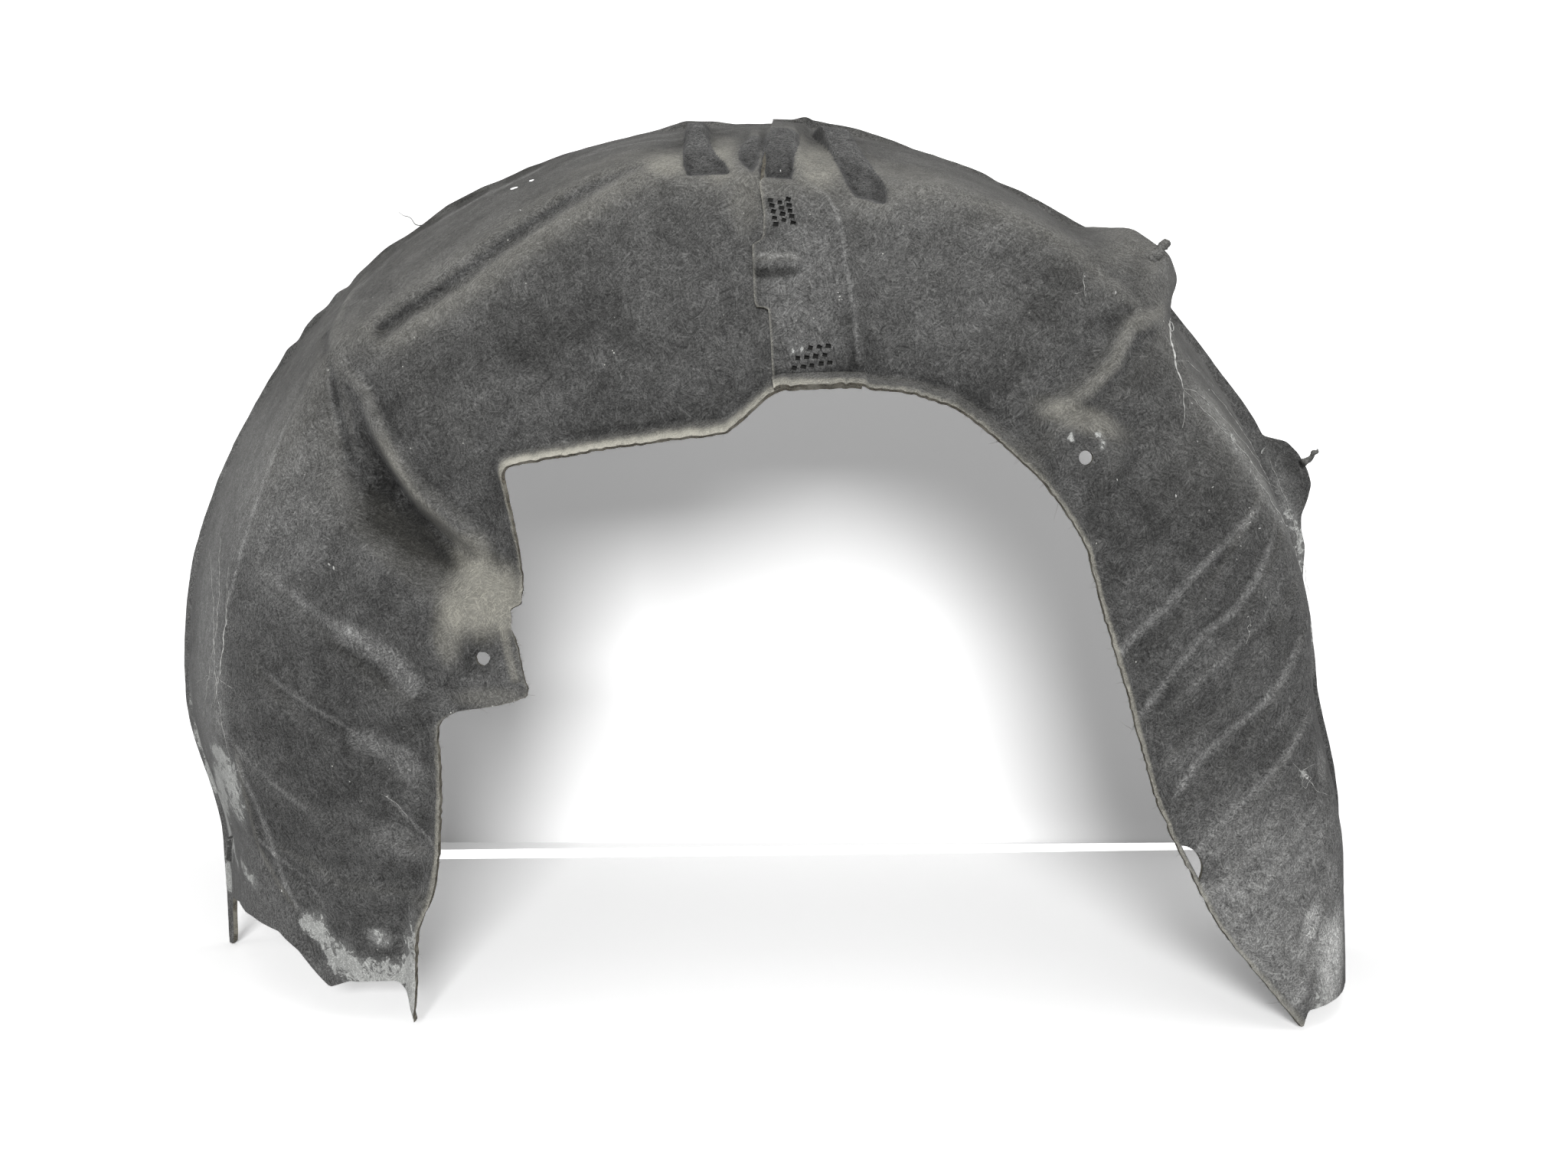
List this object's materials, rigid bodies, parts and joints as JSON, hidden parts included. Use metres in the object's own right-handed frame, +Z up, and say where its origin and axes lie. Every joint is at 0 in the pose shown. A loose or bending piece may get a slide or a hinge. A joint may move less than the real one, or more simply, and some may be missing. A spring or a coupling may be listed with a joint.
{
  "type": "wheel arch liner",
  "caption": "Moulded felt wheel arch liner: a horseshoe of two lapped shells with a flared inner lip, a rounded shoulder and a turned-out fender edge.",
  "frame": {"origin": "middle of the bounding box, on the floor that the two legs stand on", "axes": "+X from the narrow left leg to the pleated right leg, +Y from the body side wall to the fender side edge, +Z up; the wheel turns on a line along Y"},
  "size_m": [0.8726, 0.147, 0.6141],
  "materials": {
    "felt_left": "needle-punched felt, matt, fibrous, dusty on its upper faces",
    "felt_right": "needle-punched felt, matt, fibrous, dusty on its upper faces"
  },
  "bodies": {
    "root": {"left_shell": "felt_left", "right_shell": "felt_right"}
  },
  "joints": []
}
